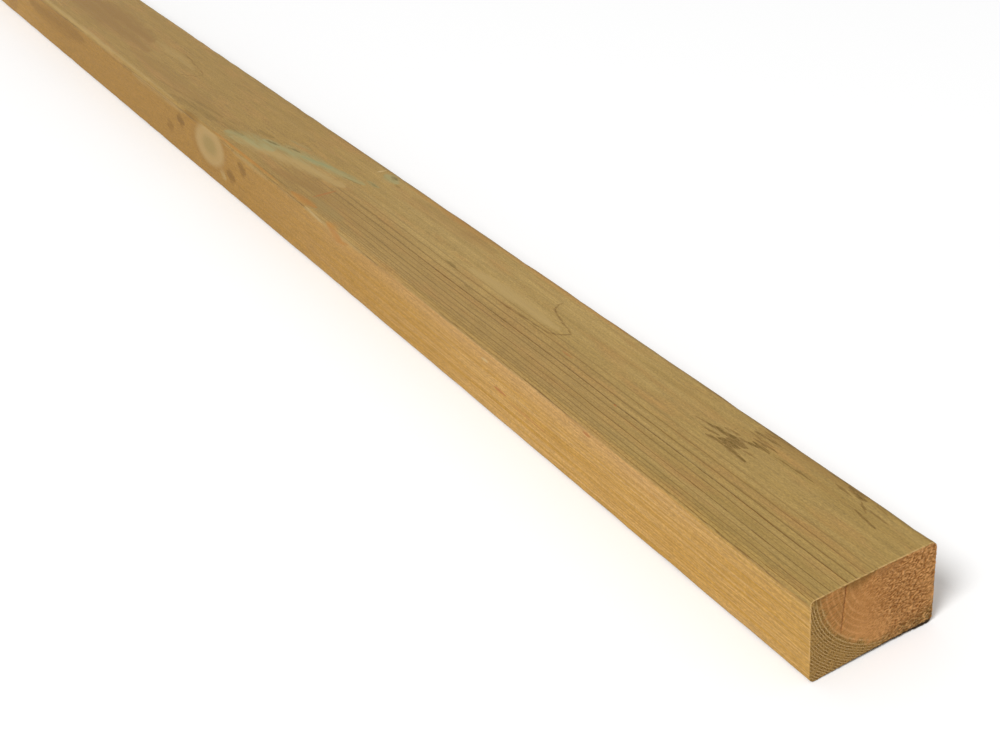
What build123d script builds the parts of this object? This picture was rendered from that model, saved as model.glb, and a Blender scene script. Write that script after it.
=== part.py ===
"""A planed softwood batten: one length of treated construction timber, lying on its wide face.

Frame: +X runs along the grain, +Y across the wide face and +Z up. The origin is the middle of the
face that the batten lies on. Everything is in millimetres.
"""

import os

from build123d import *

# The stock, as a timber yard lists it: planed width, planed thickness and cut length
batten_width = 70.0
batten_thickness = 45.0
batten_length = 2400.0

# The planer's cutters round all four long arrises, so that they don't splinter in the hand
arris_radius = 3.0

# The two crosscuts are left as the saw made them, apart from this narrow break on their flat edges
crosscut_break = 0.4

# The finished section stands across the grain, with its lower face at the height of the floor
section_plane = Plane.YZ.offset(-batten_length / 2)
section_centre = (0, batten_thickness / 2)

with BuildPart() as batten:
    # Planed section with its four rounded arrises
    with BuildSketch(section_plane) as planed_section:
        with Locations(section_centre):
            Rectangle(batten_width, batten_thickness)
        fillet(planed_section.vertices(), radius=arris_radius)

    # One straight run through the planer, from crosscut to crosscut
    extrude(amount=batten_length)

    # The break round each sawn end
    sawn_ends = batten.faces().filter_by(Axis.X)
    chamfer(sawn_ends.edges(), length=crosscut_break)

batten.part.label = "batten"

os.makedirs("parts", exist_ok=True)
export_step(batten.part, "parts/batten.step")
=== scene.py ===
# %% [markdown]
# # A planed batten of treated softwood
#
# The real thing is one length of timber, sawn out of a log close to its pith, planed on four sides,
# crosscut at both ends and treated against rot. Nothing is joined to it, so the lesson has one piece
# to model. What makes it look like wood is the tree that it came from. So the lesson first grows that
# tree as a field of rings and branches in space, and then reads the same field twice: once to raise
# the grain of the mesh, and once to colour it. Lines on the faces then meet the rings on the ends.

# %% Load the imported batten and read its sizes
from math import radians
from types import SimpleNamespace

import bpy
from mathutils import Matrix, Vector


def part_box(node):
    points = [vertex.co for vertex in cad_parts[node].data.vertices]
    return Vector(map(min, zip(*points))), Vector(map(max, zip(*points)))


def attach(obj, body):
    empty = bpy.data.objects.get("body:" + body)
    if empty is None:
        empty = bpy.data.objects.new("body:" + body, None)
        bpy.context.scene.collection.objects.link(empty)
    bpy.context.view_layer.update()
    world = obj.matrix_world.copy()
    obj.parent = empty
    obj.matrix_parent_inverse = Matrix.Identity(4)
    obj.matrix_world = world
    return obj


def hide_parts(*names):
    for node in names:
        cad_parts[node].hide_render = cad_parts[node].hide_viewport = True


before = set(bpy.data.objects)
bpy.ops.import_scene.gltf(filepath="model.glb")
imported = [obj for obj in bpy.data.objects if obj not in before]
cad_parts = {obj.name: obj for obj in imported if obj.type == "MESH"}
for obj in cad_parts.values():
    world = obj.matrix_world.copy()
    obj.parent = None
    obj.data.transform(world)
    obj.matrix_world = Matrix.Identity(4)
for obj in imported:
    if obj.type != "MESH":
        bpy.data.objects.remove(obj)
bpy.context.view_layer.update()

lowest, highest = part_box("batten")
length, width, thickness = highest - lowest
near_end = highest.x
MM = 0.001
print("the batten is", [round(side / MM, 1) for side in (length, width, thickness)], "mm")

# %% [markdown]
# ## Where the camera stands
#
# The picture looks down the batten from beside its near end, a little tilted, through a lens that is
# slightly longer than normal. The camera comes first, because everything that follows is judged
# through it. A constraint could aim it at the wood, but that would lose the tilt. So three angles turn
# it: how far up it tips from looking straight down, how far it leans, and how far it turns.

# %% Camera
camera_place = (1.5985, -0.3828, 0.4789)
tips_up_by = 58.80
leans_by = 4.60
turns_by = 59.14
focal_length = 58.02
sensor_width = 36

bpy.ops.object.select_all(action="DESELECT")
bpy.ops.object.camera_add(
    location=camera_place,
    rotation=(radians(tips_up_by), radians(leans_by), radians(turns_by)),
)
camera = bpy.context.object
camera.data.lens = focal_length
camera.data.sensor_width = sensor_width
bpy.context.scene.camera = camera
print("camera", round((camera.location - Vector((near_end, 0, 0))).length, 3), "m from the near end")

# %% [markdown]
# ## The blank: one sawn end, drawn out to a batten
#
# A planer gives timber the same section all along. A stretched cube with bevelled edges would have
# that shape, but its faces would be too large to carry any grain. So the section is drawn once, at
# the near end, as a flat face with its four corners rounded, and it is cut into a fine grid before it
# is extruded. The sawn end then has enough points for its rough surface, and each column of the grid
# becomes a narrow strip along the batten, fine enough for one line of raised grain.

# %% The section at the near end
arris_radius = 3.0 * MM
front_arris_radius = 2.2 * MM
arris_steps = 6

bpy.ops.object.select_all(action="DESELECT")
end_middle = (near_end, 0, thickness / 2)
bpy.ops.mesh.primitive_plane_add(size=1, location=end_middle, rotation=(0, radians(90), 0))
blank = bpy.context.object
blank.name = "batten_wood"
blank.data.name = "batten_wood"
blank.scale = (thickness, width, 1)
bpy.ops.object.transform_apply(location=True, rotation=True, scale=True)


def round_corners(radius, chosen):
    """Rounds the corners of the section that chosen(place) picks out."""
    bpy.ops.object.mode_set(mode="EDIT")
    bpy.ops.mesh.select_all(action="DESELECT")
    bpy.ops.object.mode_set(mode="OBJECT")
    for vertex in blank.data.vertices:
        vertex.select = chosen(vertex.co)
    bpy.ops.object.mode_set(mode="EDIT")
    bpy.ops.mesh.select_mode(type="VERT")
    bpy.ops.mesh.bevel(offset=radius, segments=arris_steps, affect="VERTICES")
    bpy.ops.object.mode_set(mode="OBJECT")


def is_front(place):
    """True on the upper arris nearest to the camera."""
    return place.y < 0 and place.z > thickness / 2


round_corners(arris_radius, lambda place: not is_front(place))
round_corners(front_arris_radius, is_front)
print("section outline:", len(blank.data.vertices), "points")

# %% [markdown]
# ### The grid
#
# Subdividing the face would follow its rounded corners and bend. Bisect cuts everything that is
# selected along a plane, so its lines stay straight. The first cuts go through the points of the
# corners, so that few slivers are left beside them, and the rest are spread evenly between.

# %% Cut the section into a grid
grid_step = 0.56 * MM
cut_tolerance = 0.01 * MM
least_gap = 0.09 * MM


def cut_through(point, direction):
    """Cuts all faces of the mesh in edit mode along one plane."""
    bpy.ops.mesh.select_all(action="SELECT")
    bpy.ops.mesh.bisect(plane_co=point, plane_no=direction, threshold=cut_tolerance)


def grid_lines(outline, axis, low, high):
    """Where to cut between low and high: at the points of the corners, and in even steps between."""
    lines = [low]
    for line in sorted(point[axis] for point in outline):
        if line - lines[-1] > least_gap and high - line > least_gap:
            lines.append(line)
    first, last = low + arris_radius, high - arris_radius
    steps = round((last - first) / grid_step)
    return lines[1:] + [first + (last - first) * step / steps for step in range(1, steps)]


outline = [vertex.co.copy() for vertex in blank.data.vertices]
bpy.ops.object.mode_set(mode="EDIT")
for line in grid_lines(outline, 1, lowest.y, highest.y):
    cut_through((near_end, line, 0), (0, 1, 0))
for line in grid_lines(outline, 2, lowest.z, highest.z):
    cut_through((near_end, 0, line), (0, 0, 1))
bpy.ops.object.mode_set(mode="OBJECT")
print("sawn end:", len(blank.data.polygons), "cells")

# %% [markdown]
# ### Out to the full length
#
# Extruding the grid makes the batten, and its long edges are then cut across at even distances. The
# surface changes slowly along the batten, except close to the saw cuts, where fibres break away. Even
# cuts would have to be fine everywhere, so the relief below first slides them: closer together at
# both ends, and a little closer in the near half.

# %% Draw the section out and cut it across
cross_cuts = 180

bpy.ops.object.mode_set(mode="EDIT")
bpy.ops.mesh.select_all(action="SELECT")
bpy.ops.mesh.extrude_region_move(TRANSFORM_OT_translate={"value": (-length, 0, 0)})
bpy.ops.mesh.select_all(action="SELECT")
bpy.ops.mesh.normals_make_consistent(inside=False)
bpy.ops.mesh.select_mode(type="EDGE")
bpy.ops.mesh.select_all(action="DESELECT")
bpy.ops.object.mode_set(mode="OBJECT")
for edge in blank.data.edges:
    start, end = (blank.data.vertices[corner].co for corner in edge.vertices)
    edge.select = abs(start.x - end.x) > length / 2
bpy.ops.object.mode_set(mode="EDIT")
bpy.ops.mesh.subdivide_edgering(number_cuts=cross_cuts, interpolation="LINEAR", smoothness=0)
bpy.ops.mesh.select_all(action="DESELECT")
bpy.ops.object.mode_set(mode="OBJECT")
triangles = sum(len(polygon.vertices) - 2 for polygon in blank.data.polygons)
print("blank:", cross_cuts, "cross cuts,", triangles, "triangles")

# %% [markdown]
# ## Sums that both the mesh and the finish can read
#
# Geometry Nodes and shaders share most of their maths nodes. A field here is one socket of either
# kind of tree, and the plus, minus and times signs between fields add the nodes. A formula for the
# growth of the tree is then written once, in plain sums, and works in both. Nodes could be wired by
# hand in the editor, but a formula of some hundred nodes is easier to read as a line of sums.

# %% Fields
class Field:
    """A value at each point of the wood. Sums between fields add maths nodes to their tree."""

    def __init__(self, socket):
        self.socket = socket
        self.tree = socket.id_data

    def __add__(self, other):
        return maths("ADD", self, other)

    def __radd__(self, other):
        return maths("ADD", other, self)

    def __sub__(self, other):
        return maths("SUBTRACT", self, other)

    def __rsub__(self, other):
        return maths("SUBTRACT", other, self)

    def __mul__(self, other):
        return maths("MULTIPLY", self, other)

    def __truediv__(self, other):
        return maths("DIVIDE", self, other)

    def __pow__(self, other):
        return maths("POWER", self, other)

    def __abs__(self):
        return maths("ABSOLUTE", self)


# %% Nodes for the fields
def new_node(tree, kind, *values, **settings):
    """Adds a node. Its first inputs take the values: a field by a link, a number as it is."""
    node = tree.nodes.new(kind)
    for name, setting in settings.items():
        setattr(node, name, setting)
    for value, socket in zip(values, node.inputs):
        plug(value, socket)
    return node


def plug(value, socket):
    """Gives a socket its value."""
    if isinstance(value, Field):
        value.tree.links.new(value.socket, socket)
    else:
        socket.default_value = value


def maths(operation, *values):
    """One maths node over fields and numbers."""
    tree = next(value.tree for value in values if isinstance(value, Field))
    return Field(new_node(tree, "ShaderNodeMath", *values, operation=operation).outputs[0])


def vector_maths(operation, *values, result=0):
    """One vector maths node over places in the wood."""
    tree = next(value.tree for value in values if isinstance(value, Field))
    node = new_node(tree, "ShaderNodeVectorMath", *values, operation=operation)
    return Field(node.outputs[result])


def ramp(value, nought_at, one_at):
    """Passes smoothly from 0 to 1 while the value goes from one number to the other, either way."""
    node = new_node(
        value.tree, "ShaderNodeMapRange", value, nought_at, one_at, 0, 1, interpolation_type="SMOOTHSTEP"
    )
    return Field(node.outputs[0])


# %% [markdown]
# ### Recipes
#
# Some formulas are needed many times, such as cloudy noise or the cone of a branch. Their nodes could
# be added again for each use, but a node group holds such a recipe once, and every use of it is then
# a single node. That keeps the node tree short enough to look through.

# %% Recipes as single nodes
kept_groups = {}


def one_node(recipe, **inputs):
    """Puts a recipe in a node group, once for each kind of tree, and adds that group as a single node."""
    tree = next(value.tree for value in inputs.values() if isinstance(value, Field))
    kind = tree.bl_idname
    if (recipe, kind) not in kept_groups:
        group = bpy.data.node_groups.new(recipe.__name__, kind)
        for name, value in inputs.items():
            if isinstance(value, Field):
                is_number = value.socket.type == "VALUE"
            else:
                is_number = isinstance(value, (int, float))
            socket_type = "NodeSocketFloat" if is_number else "NodeSocketVector"
            group.interface.new_socket(name, in_out="INPUT", socket_type=socket_type)
        group.interface.new_socket("result", in_out="OUTPUT", socket_type="NodeSocketFloat")
        starts = group.nodes.new("NodeGroupInput").outputs
        result = recipe(**{name: Field(socket) for name, socket in zip(inputs, starts)})
        plug(result, group.nodes.new("NodeGroupOutput").inputs[0])
        kept_groups[recipe, kind] = group
    node = tree.nodes.new(kind.replace("Tree", "Group"))
    node.node_tree = kept_groups[recipe, kind]
    for value, socket in zip(inputs.values(), node.inputs):
        plug(value, socket)
    return Field(node.outputs[0])


print("recipes kept so far:", len(kept_groups))

# %% [markdown]
# ### Places and clouds
#
# Places are measured as on a workbench, in millimetres: how far back from the near end, how far
# across the wide face from its middle, and how high above the floor. Natural variation is noise whose
# blotches are stretched along the grain, as long, wide and high as each use of it asks for.

# %% Places in the wood, and natural variation
def place_in(tree):
    """The place of each point, as a vector in the order back, across, height, and as three fields."""
    if tree.bl_idname == "GeometryNodeTree":
        metres = Field(tree.nodes.new("GeometryNodeInputPosition").outputs[0])
    else:
        metres = Field(tree.nodes.new("ShaderNodeTexCoord").outputs["Object"])
    from_near_end = vector_maths("SUBTRACT", metres, (near_end, 0, 0))
    vector = vector_maths("MULTIPLY", from_near_end, (-1 / MM, 1 / MM, 1 / MM))
    parts = new_node(tree, "ShaderNodeSeparateXYZ", vector)
    back, across, height = [Field(part) for part in parts.outputs]
    return SimpleNamespace(tree=tree, vector=vector, back=back, across=across, height=height)


def cloud(vector, shift, detail, rough):
    """Recipe for cloudy variation, about -1 to 1, with blotches of size 1."""
    moved = vector_maths("ADD", vector, shift)
    noise = new_node(vector.tree, "ShaderNodeTexNoise", moved)
    noise.inputs["Scale"].default_value = 1
    plug(detail, noise.inputs["Detail"])
    plug(rough, noise.inputs["Roughness"])
    return Field(noise.outputs[0]) * 4 - 2


def variation(place, blotch, detail=2.0, rough=0.5, shift=0.0):
    """Cloudy variation, about -1 to 1. Its blotches are as long, as wide and as high as blotch, in mm."""
    scaled = vector_maths("DIVIDE", place.vector, blotch)
    return one_node(cloud, vector=scaled, shift=shift, detail=detail, rough=rough)


def curve_through(value, points):
    """A curve through given points, straight between them. The last point sets its reach."""
    reach = points[-1][0]
    node = new_node(value.tree, "ShaderNodeFloatCurve", 1, value / reach)
    curve = node.mapping.curves[0]
    tallest = max(height for _, height in points)
    curve.points[0].location = (points[0][0] / reach, points[0][1] / tallest)
    curve.points[1].location = (1, points[-1][1] / tallest)
    for along, height in points[1:-1]:
        curve.points.new(along / reach, height / tallest)
    for point in curve.points:
        point.handle_type = "VECTOR"
    node.mapping.update()
    return Field(node.outputs[0]) * tallest


print("places run from 0 to", round(length / MM), "mm back")

# %% [markdown]
# ## The tree
#
# A trunk lays down one ring a year round its pith. On this batten the pith runs just above the top
# face, right of its middle. The diary gives each year's ring in order: its width in millimetres and
# how dark its late wood is. The young tree grew fast, so the rings by the pith are four to five
# millimetres wide, and the outer ones little more than one. A wave texture would draw rings too, but
# all of one width.

# %% The diary of the rings
diary = [
    (4.7, 0.25), (4.9, 0.30), (4.6, 0.45), (4.2, 0.65), (4.9, 0.70), (4.5, 1.00), (3.6, 0.75),
    (2.8, 0.25), (2.8, 0.95), (3.3, 0.60), (3.2, 0.75), (2.1, 0.70), (1.6, 0.90), (1.4, 0.80),
]
later_width = 1.35
later_years = 28
later_darkness = 0.45


def ring_years(radius):
    """The year in which the trunk reached each radius."""
    points = [(0, 0)]
    for ring_width, _ in diary:
        points.append((points[-1][0] + ring_width, points[-1][1] + 1))
    points.append((points[-1][0] + later_width * later_years, points[-1][1] + later_years))
    return curve_through(radius, points)


def ring_darkness(year):
    """How dark the late wood of each year is."""
    points = [(0, diary[0][1])] + [(count + 0.5, dark) for count, (_, dark) in enumerate(diary)]
    points.append((len(diary) + later_years, later_darkness))
    return curve_through(maths("FLOOR", year) + 0.5, points)


diary_radius = sum(ring_width for ring_width, _ in diary)
print("rings:", len(diary), "in the diary, out to", round(diary_radius, 1), "mm, then", later_years, "more")

# %% [markdown]
# ### Branches
#
# A branch starts at the pith and thickens every year as the trunk does, so in the wood it is a long
# cone. Softwoods grow their branches in whorls, here a little over half a metre apart. Knots could be
# painted on as ovals, but then the rings would run straight past them.

# %% The branches
usual_ring = 3.3
branches = [
    # start (back, across, height), then where it leaves the batten, and its radius there
    ((497, 14, 48), (668, -35, 29), 7.0),
    ((497, 15, 47), (494, 35, 43), 3.6),
    ((505, 13, 47), (548, 2, 0), 8.5),
    ((1120, 12, 47), (1190, -35, 17), 8.0),
    ((1112, 13, 47), (1150, 35, 18), 6.5),
    ((1700, 13, 48), (1760, -6, 0), 10.0),
    ((1692, 13, 47), (1722, 35, 26), 5.0),
    ((2230, 12, 48), (2310, -35, 24), 9.0),
    ((2222, 12, 47), (2262, 22, 0), 6.0),
]


def cone_years(vector, start, way, growth):
    """Recipe for the year in which a branch reached each point. way is its direction, of length 1."""
    from_start = vector_maths("SUBTRACT", vector, start)
    along = vector_maths("DOT_PRODUCT", from_start, way, result=1)
    before_start = maths("MAXIMUM", 0 - along, 0)
    square = vector_maths("DOT_PRODUCT", from_start, from_start, result=1) - along * along
    beside = maths("SQRT", maths("MAXIMUM", square, 0))
    return (beside + before_start * 3) * growth


def branch_years(place, start, leaves_at, radius):
    """The year in which the branch reached each point round its own axis."""
    reach = Vector(leaves_at) - Vector(start)
    years_at_exit = reach.yz.length / usual_ring
    return one_node(
        cone_years, vector=place.vector, start=start, way=reach.normalized(), growth=years_at_exit / radius
    )


print("branches:", len(branches))

# %% [markdown]
# ### Trunk and branches together
#
# Where trunk and branch meet, the ring of one year runs from the one into the other. Taking the
# smaller of the two ages at each point, with a soft join, draws exactly that: rings that swerve round
# every knot. The whole years of that age count the rings, and the rest of it is the season, which
# ends in dark late wood. The trunk also sways and its rings wander, as in a real tree.

# %% The field of the tree
pith_across = 13.0
pith_height = 48.5
pith_sway = 3.0
sway_length = 430
ring_wander = 0.9
ring_jitter = 0.26
join_softness = 3.0


def grow(place):
    """The rings of the trunk and its branches at each point of the wood."""
    sway = maths("SINE", place.back / sway_length) * pith_sway
    sideways = place.across - sway - pith_across
    upwards = place.height - pith_height
    wander = variation(place, (260, 50, 50), detail=1.0) * ring_wander
    jitter = variation(place, (24, 2, 2), detail=3.0) * ring_jitter
    radius = maths("SQRT", sideways * sideways + upwards * upwards) + wander + jitter
    trunk = ring_years(maths("MAXIMUM", radius, 0))
    nearest_branch = None
    for branch in branches:
        years = branch_years(place, *branch)
        nearest_branch = years if nearest_branch is None else maths("MINIMUM", nearest_branch, years)
    age = maths("SMOOTH_MIN", trunk, nearest_branch, join_softness)
    in_branch = ramp(trunk - nearest_branch, -0.6, 1.2)
    season = maths("FRACT", age)
    late = ramp(season, 0.7, 0.955) ** 1.5 * ramp(season, 1.0, 0.975)
    return SimpleNamespace(
        season=season,
        radius=radius,
        in_branch=in_branch,
        late=late,
        dark=late * ring_darkness(age),
    )


print("pith:", round(pith_height - thickness / MM, 1), "mm above the top face")

# %% [markdown]
# ## Relief
#
# Planed softwood isn't flat for long. Early wood is softer than late wood, so the dark lines stand
# a little proud. The board has cupped: its lower face, the one further from the pith, has dried
# hollow, and so only its two edges touch the floor. The saw has left the end rough, with a drying
# check and torn fibres. Displacement in the material would show all of this in the picture only. So
# it goes into the mesh, always inwards from the CAD faces, and the batten stays within its size.
#
# Part of it is drawn with strokes, as with a brush: straight lines with soft edges on a face.

# %% Strokes
top = thickness / MM
half_width = width / MM / 2


def stroke(vector, start, way, way_over_square, half_stroke, uneven):
    """Recipe: 1 on a straight stroke, 0 beside it. It is widest in the middle and thin at both ends."""
    from_start = vector_maths("SUBTRACT", vector, start)
    along = vector_maths("DOT_PRODUCT", from_start, way_over_square, result=1)
    share = maths("MINIMUM", maths("MAXIMUM", along, 0), 1)
    nearest = vector_maths("SCALE", way)
    plug(share, nearest.socket.node.inputs["Scale"])
    beside = vector_maths("LENGTH", vector_maths("SUBTRACT", from_start, nearest), result=1)
    from_middle = share * 2 - 1
    thin = 1.1 - from_middle * from_middle * 0.7
    return ramp(beside / (thin * half_stroke) + uneven, 1.1, 0)


def on_face(face, back, other):
    """The place of a point that is measured on the top face or on the side nearest to the camera."""
    return Vector((back, other, top) if face == "top" else (back, -half_width, other))


def strokes(place, marks, uneven):
    """All strokes of a list in one. Each has a face, two ends on it, half its width and its strength."""
    total = 0.0
    for face, start, end, half_stroke, strength in marks:
        start_place = on_face(face, *start)
        way = on_face(face, *end) - start_place
        mark = one_node(
            stroke, vector=place.vector, start=start_place, way=way,
            way_over_square=way / way.length_squared, half_stroke=half_stroke, uneven=uneven,
        )
        total = maths("MAXIMUM", mark * strength, total)
    return total


print("the top face is", round(top, 1), "mm up, and the sides are", round(half_width, 1), "mm out")

# %% [markdown]
# ### What the saw leaves
#
# A crack opens where the end dries faster than the rest, and a blunt tooth plucks fibres out. Both
# are written as fields, because the relief and the finish have to follow the same lines.

# %% The drying check and the torn fibres
check_across = -15.9
check_lean = 0.085


def drying_check(place):
    """1 along the crack that runs in from the top edge of the near end, 0 away from it."""
    line = place.across - check_across + (top - place.height) * check_lean
    ragged = line + variation(place, (6, 1.5, 2.5), shift=3.1) * 0.3
    return ramp(abs(ragged), 0.45, 0.1) * ramp(place.height, 16, 24) * ramp(place.back, 5, 2)


def plucked(place):
    """About -1 to 1 in the dashes where the saw has plucked fibres out. They lean up to the right."""
    lean = new_node(place.tree, "ShaderNodeCombineXYZ", 0, 0, place.across * -0.2)
    leaning = SimpleNamespace(vector=vector_maths("ADD", place.vector, Field(lean.outputs[0])))
    return variation(leaning, (2.6, 1.7, 0.6), detail=3.0, rough=0.6, shift=7.7)


def torn_share(place):
    """How torn the sawn end is: 0 at the left, where the rings show cleanly, and 1 at the right."""
    return ramp(place.across + (place.height - 20) * 0.2, -10, 16)


print("drying check:", -check_across, "mm left of the middle")

# %% [markdown]
# ### Depths in millimetres
#
# The way in which a face looks tells which relief it gets: sawn faces look along the batten, and
# arrises and broken edges look aslant. Selecting them by hand would have to be done again after each
# change of the grid, and the direction of the normal does it by itself.

# %% How far each point lies inside the CAD face
grain_depth = 0.05
arris_waver = 0.4
saw_roughness = 0.3
pit_depth = 0.45
check_depth = 0.5
break_depth = 0.3
corner_chip = [("top", (-0.5, -35), (1.0, -35), 2.0, 0.8)]


def relief_depth(place, wood, normal):
    """How far each point lies inside the CAD face, in mm."""
    sawn = ramp(abs(normal.x), 0.85, 0.98)
    edge = ramp(abs(normal.x), 0.2, 0.5) * ramp(abs(normal.x), 0.95, 0.8)
    corner = ramp(abs(normal.y), 0.15, 0.45) * ramp(abs(normal.z), 0.15, 0.45)
    planed = 1 - sawn
    grain = planed * (1 - wood.late) * grain_depth
    waver = corner * ramp(variation(place, (18, 30, 30), detail=3.0, rough=0.7), -0.3, 0.9) * arris_waver
    rough_end = sawn * ramp(variation(place, (2, 1.5, 1.0), detail=3.0), -1.5, 1.5) * saw_roughness
    pits = sawn * torn_share(place) * ramp(plucked(place), -0.4, 0.6) * pit_depth
    crack = sawn * drying_check(place) * check_depth
    frayed = edge * break_depth * (1 + ramp(variation(place, (2, 1.4, 1.4), shift=2.0), -1, 1))
    return grain + waver + rough_end + pits + crack + frayed + strokes(place, corner_chip, 0.0)


print("raised grain:", grain_depth, "mm; pits in the torn end:", pit_depth, "mm")

# %% [markdown]
# ### The relief as a modifier
#
# A Geometry Nodes modifier can move all points at once by such a field. It also bends the section:
# the lower face goes hollow, and the top face drops a little towards its edges. It is then applied,
# so that the mesh itself carries the relief and other programs get it too.

# %% Move the points
cup_depth = 1.3
crown_drop = 0.4
sharp_from = 50
cut_spread = [(0, 0), (0.03, 0.0012), (0.07, 0.006), (0.6, 0.48), (0.94, 0.994), (0.97, 0.9988), (1, 1)]


def relief_nodes():
    """The modifier's nodes: they slide the cuts, mark the sawn faces, then move each point inwards."""
    tree = bpy.data.node_groups.new("timber_relief", "GeometryNodeTree")
    tree.interface.new_socket("Geometry", in_out="INPUT", socket_type="NodeSocketGeometry")
    tree.interface.new_socket("Geometry", in_out="OUTPUT", socket_type="NodeSocketGeometry")
    start = tree.nodes.new("NodeGroupInput")
    end = tree.nodes.new("NodeGroupOutput")
    place = place_in(tree)
    outwards = Field(tree.nodes.new("GeometryNodeInputNormal").outputs[0])
    parts = new_node(tree, "ShaderNodeSeparateXYZ", outwards)
    x, y, z = [Field(part) for part in parts.outputs]
    normal = SimpleNamespace(x=x, y=y, z=z)

    even = place.back / (length / MM)
    slide = new_node(tree, "ShaderNodeCombineXYZ", (even - curve_through(even, cut_spread)) * length, 0, 0)
    slid = tree.nodes.new("GeometryNodeSetPosition")
    tree.links.new(start.outputs[0], slid.inputs["Geometry"])
    plug(Field(slide.outputs[0]), slid.inputs["Offset"])

    marked = tree.nodes.new("GeometryNodeStoreNamedAttribute")
    marked.inputs["Name"].default_value = "sawn"
    tree.links.new(slid.outputs[0], marked.inputs["Geometry"])
    plug(abs(normal.x), marked.inputs["Value"])

    depth = relief_depth(place, grow(place), normal)
    inwards = vector_maths("SCALE", outwards)
    plug(depth * -MM, inwards.socket.node.inputs["Scale"])
    beside = place.across / half_width
    below_top = 1 - place.height / top
    lift = below_top * below_top * (1 - beside * beside) * cup_depth
    sink = (1 - below_top) * (1 - below_top) * beside * beside * crown_drop
    cupped = new_node(tree, "ShaderNodeCombineXYZ", 0, 0, (lift - sink) * MM)
    moved = tree.nodes.new("GeometryNodeSetPosition")
    tree.links.new(marked.outputs[0], moved.inputs["Geometry"])
    plug(vector_maths("ADD", inwards, Field(cupped.outputs[0])), moved.inputs["Offset"])
    tree.links.new(moved.outputs[0], end.inputs[0])
    return tree


relief = blank.modifiers.new("timber_relief", "NODES")
relief.node_group = relief_nodes()
bpy.ops.object.select_all(action="DESELECT")
blank.select_set(True)
bpy.context.view_layer.objects.active = blank
bpy.ops.object.modifier_apply(modifier=relief.name)
bpy.ops.object.shade_smooth_by_angle(angle=radians(sharp_from))
print("relief applied; marked faces:", "sawn" in blank.data.attributes)

# %% [markdown]
# ## The finish
#
# Softwood that has been treated against rot is olive on its wide faces, where the liquid has soaked
# in, and golden on its narrow ones. The sawn end shows heartwood, which takes up less of the liquid,
# as an orange core inside an olive border. The colours could be typed in as the shader counts them,
# but then they mean little to the eye. So each is written as on a paint chart.

# %% Colours
def paint(red, green, blue):
    """A colour as a paint chart gives it, 0 to 255, made linear for the shader."""
    linear = [((part / 255 + 0.055) / 1.055) ** 2.4 for part in (red, green, blue)]
    return (*linear, 1)


def mixed(first, second, share):
    """Mixes two colours, each a field or a paint."""
    node = share.tree.nodes.new("ShaderNodeMix")
    node.data_type = "RGBA"
    plug(share, node.inputs[0])
    plug(first, node.inputs[6])
    plug(second, node.inputs[7])
    return Field(node.outputs[2])


def toned(colour, change):
    """Makes a colour lighter or darker by a share of itself."""
    lighter = vector_maths("SCALE", colour)
    plug(change + 1, lighter.socket.node.inputs["Scale"])
    return lighter


wide_pale = paint(171, 142, 85)
wide_olive = paint(153, 125, 67)
wide_pink = paint(166, 127, 72)
wide_far = paint(150, 119, 62)
wide_late = paint(98, 64, 12)
wide_brown = paint(142, 108, 57)
narrow_pale = paint(198, 157, 94)
narrow_gold = paint(178, 134, 54)
narrow_pink = paint(194, 153, 98)
narrow_brown = paint(155, 115, 45)
narrow_late = paint(150, 106, 40)
heart_pale = paint(200, 139, 76)
heart_dark_and_pit_shade = paint(140, 82, 30)
heart_light_and_highlight = paint(246, 184, 116)
heart_smooth = paint(190, 134, 76)
sap_pale = paint(184, 145, 80)
sap_dark = paint(122, 88, 32)
sap_line = paint(220, 186, 128)
check_brown = paint(140, 74, 40)
gap_shade_brown = paint(60, 44, 24)
fuzz_and_highlight = paint(226, 186, 126)
knot_brown = paint(150, 110, 50)
knot_pale = paint(181, 152, 98)
knot_green = paint(151, 127, 71)
smudge_and_shade_brown = paint(116, 80, 18)
stain_teal = paint(151, 149, 103)
stain_green = paint(136, 138, 94)
stain_dark = paint(98, 76, 26)
stain_grey = paint(146, 124, 74)
resin = paint(174, 114, 42)
resin_red = paint(168, 98, 46)
cream = paint(175, 147, 92)
bright = paint(196, 170, 120)
print("paint 128 of 255 is", round(paint(128, 128, 128)[0], 3), "in linear light")

# %% [markdown]
# ### Marks of this batten
#
# Rings and fibres come from the tree, but every board also has its own marks. Where the planer ran
# against the grain, it has torn out short fibres. Noise could scatter such marks, but never where they
# are on this batten, so each is placed as a stroke. A stroke is listed with its face, its two ends in
# millimetres (how far back, and how far across or how high), half its width and its strength.

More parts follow.
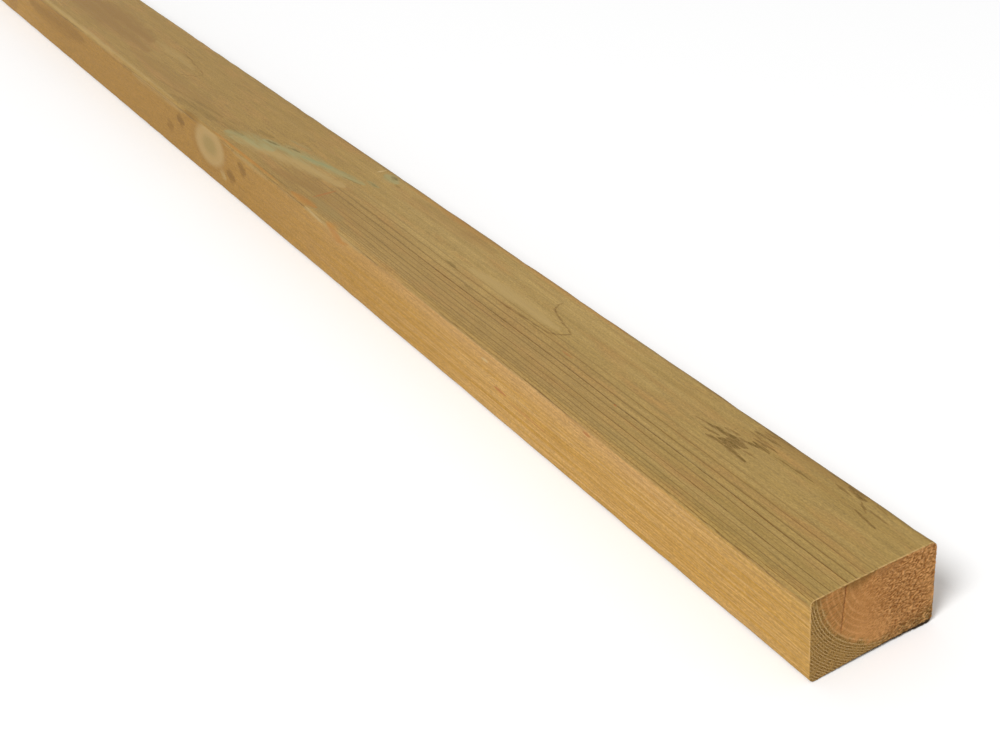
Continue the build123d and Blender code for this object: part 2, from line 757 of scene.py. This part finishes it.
# %% Torn and dark marks
torn_marks = [
    ("top", (135, 13.0), (112, 15.6), 1.4, 1.0), ("top", (127, 6.8), (111, 9.4), 1.7, 0.9),
    ("top", (120, 9.2), (107, 11.8), 2.7, 1.0), ("top", (114, 8.0), (97, 6.8), 1.5, 0.9),
    ("top", (118, 12.4), (105, 14.6), 2.2, 0.8), ("top", (120, 15.0), (102, 19.6), 1.7, 1.0),
    ("top", (108, 20.4), (95, 20.3), 1.3, 1.0), ("top", (97, 20.3), (62, 21.4), 0.6, 0.8),
    ("top", (116, 25.0), (93, 23.4), 0.9, 0.8), ("top", (115, 26.6), (97, 28.5), 1.5, 0.9),
    ("top", (112, 30.2), (102, 31.4), 1.1, 0.7), ("top", (120, 33.4), (86, 33.2), 1.6, 0.8),
    ("top", (143, 12.2), (128, 13.8), 0.7, 0.5), ("top", (126, 17.4), (113, 19.2), 1.0, 0.6),
    ("top", (110, 22.4), (100, 22.2), 0.9, 0.7), ("top", (134, 9.4), (122, 11.0), 0.9, 0.7),
    ("top", (106, 11.8), (96, 12.6), 1.0, 0.6), ("top", (53, 32.2), (40, 30.2), 2.2, 1.0),
    ("top", (74, 33.4), (46, 33.6), 1.6, 0.8), ("top", (42, 28.6), (33, 24.0), 0.9, 0.8),
    ("top", (39, 22.1), (22, 19.4), 0.9, 0.9), ("top", (60, 28.4), (44, 27.6), 0.8, 0.6),
    ("top", (34, 26.8), (20, 25.6), 0.7, 0.6), ("top", (36, 31.4), (26, 30.6), 0.8, 0.6),
]
dark_marks = [
    ("top", (616, -10.6), (600, -7.6), 1.5, 1.0), ("top", (593, -3.9), (579, -1.2), 1.4, 0.9),
    ("top", (638, -8), (616, -5), 3.2, 0.5), ("top", (500, 29.6), (492, 29.4), 2.4, 1.0),
    ("top", (487, 25.8), (480, 25.2), 1.6, 0.6), ("top", (522, 3.6), (501, 7.2), 0.8, 0.6),
    ("top", (503, 13.5), (491, 13.9), 1.0, 0.6), ("top", (370, -2), (357, -2.2), 1.6, 0.8),
    ("top", (336, -8.7), (326, -8.8), 1.0, 0.7), ("top", (584, -32.6), (520, -32.2), 0.9, 0.6),
    ("top", (752, -30), (636, -20), 4.2, 0.5), ("top", (790, -27), (660, -16), 1.8, 0.4),
    ("side", (900, 40.6), (740, 41), 1.0, 0.4),
]
print("strokes of torn grain:", len(torn_marks))

# %% [markdown]
# Softer strokes are the stains: brown smudges near the knot in the side, a blue-green streak along the
# branch that the top face grazes, with pale wood beside it, and a little resin at the front arris.

# %% Stains and resin
smudge_marks = [
    ("side", (733, 33), (721, 32), 7.5, 0.85), ("side", (730, 28), (724, 30), 4, 0.7),
    ("side", (761, 18), (749, 20), 7, 0.6), ("side", (715, 45), (683, 47), 5, 0.7),
    ("side", (614, 34), (603, 31), 7.0, 0.75), ("side", (608, 30), (602, 34), 4, 0.7),
    ("side", (640, 19), (628, 17), 7.5, 0.8), ("side", (634, 16), (627, 20), 4, 0.6),
    ("side", (1120, 30), (960, 34), 12, 0.5),
]
teal_marks = [
    ("top", (652, -25), (596, -14), 9, 0.6), ("top", (618, -12), (540, 3), 7, 0.7),
    ("top", (572, -3), (540, 5), 3, 0.6), ("top", (556, 0), (500, 9), 4, 0.6),
    ("top", (505, 28), (488, 27), 6, 0.6),
]
green_marks = [
    ("top", (604, 2.6), (577, 6.4), 1.8, 0.5), ("top", (572, -3.2), (536, 5.6), 2.0, 0.9),
    ("top", (540, 5), (514, 9.5), 1.4, 0.6), ("top", (505, 13.3), (489, 14.2), 2.0, 0.8),
]
cream_marks = [
    ("top", (1150, -33), (740, -33), 2.6, 0.7), ("top", (880, 5), (790, 3), 5, 0.4),
    ("top", (350, 4), (258, 6), 6, 0.8),
    ("top", (640, -26), (574, -14), 7, 0.7),
    ("top", (604, -18), (524, -4), 8, 0.8), ("top", (530, -7), (506, -3), 4, 0.7),
    ("side", (655, 15), (646, 12), 5, 0.8), ("side", (830, 41), (720, 41), 4, 0.4),
    ("side", (500, 42), (420, 41), 3.5, 0.5), ("side", (620, 41), (560, 41), 3, 0.4),
]
bright_marks = [
    ("top", (513.5, 25), (511.5, 31.5), 1.4, 0.8), ("side", (273, 35), (266, 35.4), 1.3, 0.8),
    ("side", (500, 43.6), (474, 41), 1.5, 0.4),
]
brown_marks = [
    ("top", (566, -27), (506, -17), 6.5, 0.6), ("side", (720, 44), (640, 46), 3.5, 0.5),
    ("top", (1200, -6), (860, -9), 15, 0.8), ("top", (460, 24), (360, 26), 9, 0.35),
    ("top", (560, -16), (440, -20), 7, 0.3), ("top", (115, 30), (48, 31), 5, 0.45),
    ("top", (1040, 2), (880, 2), 15, 0.9), ("top", (880, -18), (680, -18), 9, 0.4),
]
grey_marks = [("top", (506, -27), (462, -26), 6, 0.5)]
resin_marks = [
    ("top", (524, -33), (490, -31), 3.6, 0.6), ("side", (468, 45), (446, 38), 5.5, 0.6),
    ("top", (480, 31), (230, 32.5), 4, 0.3),
    ("top", (660, -33.5), (530, -33.5), 1.6, 0.6), ("side", (454, 36), (436, 40), 1.5, 0.5),
]
red_marks = [
    ("top", (506, -26), (504, -10), 1.8, 0.6), ("side", (261, 22.4), (249, 22.2), 1.6, 0.8),
    ("side", (172, 39.5), (166, 39.4), 1.5, 0.8), ("top", (237, -5), (227, -5), 1.0, 0.4),
    ("top", (176.5, -13.4), (174, -13.4), 0.7, 0.9), ("side", (246, 20), (210, 19), 1.2, 0.35),
]
print("strokes of cream:", len(cream_marks), "and of resin:", len(resin_marks) + len(red_marks))

# %% [markdown]
# The knot in the side is a pale oval with a greener heart. And in two places the top face just grazes
# a ring, so that its line turns back in a long tongue. The points of each tongue say how far behind
# its tip the line lies at each place across the face.

# %% The knot in the side and the grazed rings
side_knot = (669.6, 30.4)
side_knot_reach = (31.9, 19)
side_knot_lean = -0.37
near_tip = [
    (-4, 60), (-2.2, 41), (-1.6, 28), (-1.1, 18), (-0.4, 9), (2.3, 4.2), (5.6, 1.2), (8.2, 0), (9.8, 5),
    (11.2, 12), (13.2, 19), (14.5, 24), (16.6, 29), (20.6, 32), (24, 32),
]
far_tip = [(-9, 15), (-6.4, 9), (-3, 4), (-1, 0.5), (4.3, 0), (6.7, 10), (8, 25), (10, 39), (12, 60)]


def on_top(place):
    """1 on the top face, 0 below it."""
    return ramp(place.height, 43, 44.5)


def grazed_ring(place, tip_back, points):
    """The thin line of one ring where the cut just grazes it. The points give its course."""
    reach = points[-1][0] - points[0][0]
    moved = [(across - points[0][0], back) for across, back in points]
    jagged = variation(place, (7, 1.2, 4), detail=3.0, shift=6.0)
    across = place.across - points[0][0] + jagged * 0.5
    course = curve_through(across, moved)
    slope = curve_through(across + 0.6, moved) - curve_through(across - 0.6, moved)
    line = (place.back - tip_back - course) / maths("SQRT", slope * slope * 0.7 + 1)
    inside = ramp(across, 0, 1) * ramp(across, reach, reach - 1) * on_top(place)
    return ramp(abs(line), 1.1, 0.1) * inside * (ramp(jagged, -0.8, 0.5) * 0.7 + 0.3)


print("knot in the side:", 2 * side_knot_reach[0], "mm long")

# %% [markdown]
# ### The planed faces
#
# The wide faces are olive and the narrow ones golden, and each drifts between two or three tones along
# the grain. A picture of wood laid over them would show the same board on every face. Here the dark
# lines are the late wood of the tree, and stretched clouds give the slow changes between them.

# %% Colour of the planed faces
def planed_colour(place, wood, fibres):
    """The colour of the four long faces."""
    tone = ramp(variation(place, (160, 5, 5), detail=3.0), -0.9, 0.9)
    warmth = ramp(variation(place, (60, 9, 9), detail=3.0, shift=9.0), -0.1, 0.9)
    streaks = variation(place, (150, 1.3, 1.3), detail=3.0, rough=0.6, shift=2.9)
    far_half = ramp(place.back, 1000, 1300)
    upper = on_top(place)
    quiet = upper * ramp(place.across, 1, 8) * 0.85
    fading = upper * ramp(place.back, 400, 600) * (0.8 - far_half * 0.7)
    lines = wood.dark * (1 - quiet) * (1 - fading) * ramp(fibres, -1.3, 0.3)

    wide = mixed(wide_olive, wide_pale, tone * 0.6 + ramp(place.back, 60, 260) * 0.4)
    wide = mixed(wide, wide_far, ramp(place.back, 380, 640) * (0.75 - far_half * 0.4))
    left_band = ramp(place.across + tone * 8, 6, -8) * 0.34
    left_band = left_band * ramp(place.back, 110, 220) * ramp(place.back, 640, 520)
    wide = mixed(wide, wide_brown, left_band)
    wide = mixed(wide, wide_pink, warmth * 0.65)
    wide = mixed(wide, wide_late, lines)
    narrow = mixed(narrow_pale, narrow_gold, ramp(streaks + tone * 0.5, -0.5, 0.9))
    upper_band = ramp(place.height + streaks * 4, 28, 38) * 0.6
    upper_band = upper_band * ramp(place.back, 60, 130) * ramp(place.back, 620, 360)
    narrow = mixed(narrow, narrow_pink, upper_band + warmth * ramp(place.back, 350, 500) * 0.5)
    narrow = mixed(narrow, narrow_brown, ramp(place.back, 190, 700) * (0.9 - far_half * 0.5))
    olive_edge = ramp(place.height + streaks * 5, 35, 43) * ramp(place.back, 120, 50)
    narrow = mixed(narrow, wide_pale, olive_edge * 0.4)
    narrow = mixed(narrow, narrow_late, lines * 0.6)
    uneven = variation(place, (30, 3, 3), shift=2.2) * 0.5
    on_edge = ramp(abs(place.across), 33.6, 34.7) * ramp(place.height + uneven, 42.6, 41.2)
    colour = mixed(wide, narrow, on_edge)
    # Painted shade: the far upper arris, rounded away from the lamp, is darkened with the smudge brown.
    far_arris_shade = ramp(place.across + uneven, 31.0, 33.2) * ramp(place.height, 38, 42)
    colour = mixed(colour, smudge_and_shade_brown, far_arris_shade * ramp(place.back, 900, 500) * (warmth * 0.4 + 0.35))
    seen_less = maths("MAXIMUM", ramp(place.back, 900, 1000), ramp(place.height, 6, 3))
    colour = mixed(colour, knot_brown, wood.in_branch * seen_less * 0.55)
    return toned(colour, fibres * 0.23 + streaks * 0.06)


# %% [markdown]
# The marks go over that colour in layers, as a painter would lay them: the soft stains first, then
# the knot, and the fine dark marks last.

# %% Knots and marks over it
def laid_on(colour, place, layers):
    """Lays strokes over a colour. Each layer has its paint, marks, unevenness and share."""
    for coat, marks, uneven, share in layers:
        colour = mixed(colour, coat, strokes(place, marks, uneven) * share)
    return colour


def knots_and_marks(place, colour, fibres):
    """Lays the knots and this batten's own marks over the planed colour."""
    uneven = variation(place, (9, 1.1, 1.1), detail=3.0, rough=0.6, shift=5.5)
    lean = (place.height - side_knot[1]) * side_knot_lean
    along = (place.back - side_knot[0] - lean) / side_knot_reach[0]
    upwards = (place.height - side_knot[1]) / side_knot_reach[1]
    from_heart = maths("SQRT", along * along + upwards * upwards) + uneven * 0.03
    on_side = ramp(place.across, -34, -34.8)

    soft = variation(place, (40, 5, 5), detail=3.0, rough=0.6, shift=3.5) * 0.35 + uneven * 0.12
    colour = laid_on(colour, place, [
        (wide_brown, brown_marks, soft, 1),
        (stain_grey, grey_marks, soft, 1),
        (smudge_and_shade_brown, smudge_marks, soft, 0.85),
        (cream, cream_marks, soft * 1.4, 1),
        (stain_teal, teal_marks, soft * 1.3, 1),
    ])
    colour = mixed(colour, knot_brown, ramp(from_heart, 1.3, 0.95) * on_side * 0.4)
    colour = mixed(colour, knot_pale, ramp(from_heart, 1.03, 0.7) * on_side * 0.7)
    colour = mixed(colour, knot_green, ramp(from_heart, 0.6, 0.2) * on_side * 0.8)
    colour = laid_on(colour, place, [
        (stain_green, green_marks, uneven * 0.4, 0.65),
        (resin, resin_marks, soft, 1),
        (resin_red, red_marks, uneven * 0.3, 1),
        (bright, bright_marks, uneven * 0.3, 1),
        (stain_dark, dark_marks, uneven * 0.5, 0.65),
    ])
    torn = strokes(place, torn_marks, uneven * 0.9)
    colour = mixed(colour, wide_brown, ramp(torn, 0, 0.3) * 0.6)
    colour = mixed(colour, stain_dark, torn * ramp(fibres, -1.2, 0.4) * 0.95)
    grazed = maths("MAXIMUM", grazed_ring(place, 249, near_tip), grazed_ring(place, 774, far_tip) * 0.6)
    return mixed(colour, wide_late, grazed * 0.65)


# %% [markdown]
# ### The sawn ends
#
# A saw cuts across the fibres. At the left of the near end it has left them clean, and the rings show
# as pale lines. At the right it has torn them, and small leaning dashes cover the rings. A bump map
# alone would do for an end that is far away. This one is near the camera, so the dashes that give its
# relief are coloured too, with painted shade in their pits and painted highlights on the paler torn
# fibres between them. A strip of painted shade along the bottom edge stands for the shadow in the gap
# under the cupped board.

# %% Colour of the sawn ends
smooth_patch = [("top", (0, -2), (0.1, 16), 6.5, 1.0)]
dark_patches = [
    ("top", (0, -17), (0.1, -2), 6.5, 0.7), ("top", (0, -7), (0.1, -1), 2.4, 0.8),
    ("top", (0, -36), (0.1, -26), 4, 0.5),
]


def sawn_colour(place, wood):
    """The colour of the two sawn ends."""
    heart = ramp(wood.radius + variation(place, (30, 5, 5), detail=3.0) * 3, 46, 40)
    line = ramp(wood.season, 0.58, 0.8) * ramp(wood.season, 1.0, 0.93)
    around = maths("ARCTAN2", place.height - pith_height, place.across - pith_across)
    polar = new_node(place.tree, "ShaderNodeCombineXYZ", around * 55, wood.radius / 5, place.back / 2)
    rays = variation(SimpleNamespace(vector=Field(polar.outputs[0])), (1, 1, 1))
    speckle = variation(place, (1.4, 0.8, 0.6), detail=3.0, rough=0.7)
    torn = torn_share(place)
    dashes = plucked(place)

    sap = mixed(sap_pale, sap_dark, ramp(speckle + rays, -0.9, 0.7))
    sap = mixed(sap, sap_line, line * ramp(rays, -0.7, 0.5) * 0.9)
    core = mixed(heart_pale, heart_dark_and_pit_shade, ramp(speckle, 0, 1.8) * 0.45)
    clear = ramp(place.across, -2, -14) * 0.45 + 0.08
    core = mixed(core, heart_light_and_highlight, line * clear * ramp(rays, -0.9, 0.3))
    core = mixed(core, sap_dark, ramp(rays, -0.6, 0.8) * ramp(place.across, -6, -22) * 0.62)
    colour = mixed(sap, core, heart)
    low_right = ramp(place.height + place.across * -0.12, 10, 2) * ramp(place.across, -8, 18)
    colour = mixed(colour, sap_dark, low_right * 0.45)
    colour = mixed(colour, heart_light_and_highlight, ramp(place.height, 27, 13) * heart * 0.2)
    uneven = speckle * 0.4
    smooth = strokes(place, smooth_patch, uneven)
    colour = mixed(colour, heart_smooth, smooth)
    # Painted shade in the pits of the torn dashes, and painted highlights on the torn fibres between them,
    # which are also paler wood.
    colour = mixed(colour, heart_light_and_highlight, ramp(dashes, 0.0, -0.4) * (0.15 + torn * 0.75) * (1 - smooth))
    colour = mixed(colour, heart_dark_and_pit_shade, ramp(dashes, 0.05, 0.45) * (0.1 + torn * 0.75) * (1 - smooth))
    colour = mixed(colour, sap_dark, strokes(place, dark_patches, uneven))
    colour = mixed(colour, check_brown, drying_check(place) * ramp(speckle, -1, 0.4) * 0.6)
    # Painted shade: a dark strip along the bottom edge of the end, where the gap under the cupped board
    # lies in shadow.
    thick = ramp(place.across, -26, 6) * 0.9 + speckle * 0.12
    under = ramp(place.height - thick, 1.3, 0.6)
    return mixed(colour, gap_shade_brown, under * ramp(place.across, -28, -16))


# %% [markdown]
# ### One material
#
# The sawn and the planed faces could have a material each, but the border between two materials is
# always hard. The batten is one piece of wood, so one material holds both, and the mark that the
# relief left on the mesh mixes them. Fibres that stand up along the broken edges are paler, and a
# painted highlight there makes them paler still, as if they caught the lamp. A fine bump follows the
# fibres and the dashes of the cut.

# %% The finish as one material
planed_roughness = 0.62
added_roughness = 0.25
late_polish = 0.08
mirror_level = 0.2
fibre_bump = 0.06
cut_bump = 0.2
torn_bump = 0.38


def timber_finish():
    """One material for the whole batten."""
    material = bpy.data.materials.new("treated_softwood")
    material.use_nodes = True
    tree = material.node_tree
    tree.nodes.clear()
    output = tree.nodes.new("ShaderNodeOutputMaterial")
    surface = tree.nodes.new("ShaderNodeBsdfPrincipled")
    tree.links.new(surface.outputs[0], output.inputs["Surface"])
    place = place_in(tree)
    wood = grow(place)
    sawn = Field(new_node(tree, "ShaderNodeAttribute", attribute_name="sawn").outputs["Fac"])
    on_end = ramp(sawn, 0.5, 0.7)
    threads = variation(place, (20, 1.1, 1.1), detail=3.0, rough=0.7, shift=0.7)
    specks = variation(place, (1.6, 0.5, 0.5), detail=1.0, shift=4.4)
    fibres = threads * 0.8 + specks * 0.85
    planed = knots_and_marks(place, planed_colour(place, wood, fibres), fibres)
    colour = mixed(planed, sawn_colour(place, wood), on_end)
    fluffy = ramp(variation(place, (1.5, 1.2, 1.2)), -0.9, 0.5) * ramp(place.height, 5, 20)
    # Pale torn fibres along the broken edges of the ends, with a painted highlight on them.
    broken = ramp(sawn, 0.1, 0.4) * ramp(sawn, 0.97, 0.85)
    bruised_lit_rim = ramp(place.back, 1.3, 0.5) * (1 - on_end)
    colour = mixed(colour, fuzz_and_highlight, maths("MAXIMUM", broken, bruised_lit_rim) * fluffy * 0.6)
    plug(colour, surface.inputs["Base Color"])
    plug(planed_roughness + on_end * added_roughness - wood.dark * late_polish, surface.inputs["Roughness"])
    surface.inputs["Specular IOR Level"].default_value = mirror_level

    along_grain = fibres * fibre_bump
    across_cut = variation(place, (1, 0.8, 0.5), detail=3.0, rough=0.7) * -cut_bump
    across_cut = across_cut - torn_share(place) * plucked(place) * torn_bump
    bump = tree.nodes.new("ShaderNodeBump")
    bump.inputs["Distance"].default_value = 1.0
    plug((along_grain * (1 - on_end) + across_cut * on_end) * MM, bump.inputs["Height"])
    tree.links.new(bump.outputs[0], surface.inputs["Normal"])
    return material


blank.data.materials.clear()
blank.data.materials.append(timber_finish())
print("finish:", len(blank.data.materials[0].node_tree.nodes), "nodes")

# %% [markdown]
# ## Floor and light
#
# The real batten lies on a white sweep under soft studio light. A sweep has a bend behind the object,
# and a wide flat floor does as well when it is as white as the sky. Both are white for the camera and
# for reflections, and darker for the light that they throw at the wood, or it would look washed out.

# %% Floor
floor_size = 60

bpy.ops.object.select_all(action="DESELECT")
bpy.ops.mesh.primitive_plane_add(size=floor_size, location=(0, 0, 0))
floor = bpy.context.object
floor.name = "studio_floor"


def background_seen(tree):
    """1 for rays from the camera, and for mirrored and refracted ones, 0 for the rest."""
    path = tree.nodes.new("ShaderNodeLightPath")
    mirrored = maths("MAXIMUM", Field(path.outputs["Is Camera Ray"]), Field(path.outputs["Is Glossy Ray"]))
    return maths("MAXIMUM", mirrored, Field(path.outputs["Is Transmission Ray"]))


white = (1, 1, 1, 1)
floor_bounce = (0.72, 0.72, 0.72, 1)
sky_level = (0.51, 0.51, 0.51, 1)

studio_white = bpy.data.materials.new("studio_white")
studio_white.use_nodes = True
matt = studio_white.node_tree.nodes["Principled BSDF"]
matt.inputs["Roughness"].default_value = 1
matt.inputs["Specular IOR Level"].default_value = 0
plug(mixed(floor_bounce, white, background_seen(studio_white.node_tree)), matt.inputs["Base Color"])
floor.data.materials.append(studio_white)
print("the floor gives back", floor_bounce[0], "of the light")

# %% [markdown]
# ### Sky and lamp
#
# Soft boxes all round a studio give light without a direction, and an even sky stands in for them.
# One large round lamp, high up on the camera's side, adds the soft shadow behind the batten. A sun
# lamp would be simpler, but its shadow would be as sharp as outdoors.

# %% Sky and lamp
world = bpy.data.worlds.new("studio")
bpy.context.scene.world = world
world.use_nodes = True
sky = world.node_tree.nodes["Background"]
plug(mixed(sky_level, white, background_seen(world.node_tree)), sky.inputs["Color"])
bpy.context.scene.view_settings.view_transform = "Standard"

lamp_target = Vector((near_end, 0, 0))
lamp_direction = Vector((0.25, -0.6, 0.76)).normalized()
lamp_distance = 10.0
lamp_size = 3.7
lamp_power = 740

bpy.ops.object.light_add(type="AREA", location=lamp_target + lamp_direction * lamp_distance)
lamp = bpy.context.object
lamp.rotation_euler = lamp_direction.to_track_quat("Z", "Y").to_euler()
lamp.data.shape = "DISK"
lamp.data.size = lamp_size
lamp.data.energy = lamp_power
print("lamp at", [round(part, 2) for part in lamp.location])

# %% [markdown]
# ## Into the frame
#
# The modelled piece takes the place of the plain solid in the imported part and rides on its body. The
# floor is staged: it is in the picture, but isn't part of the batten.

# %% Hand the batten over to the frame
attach(blank, "root")
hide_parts("batten")
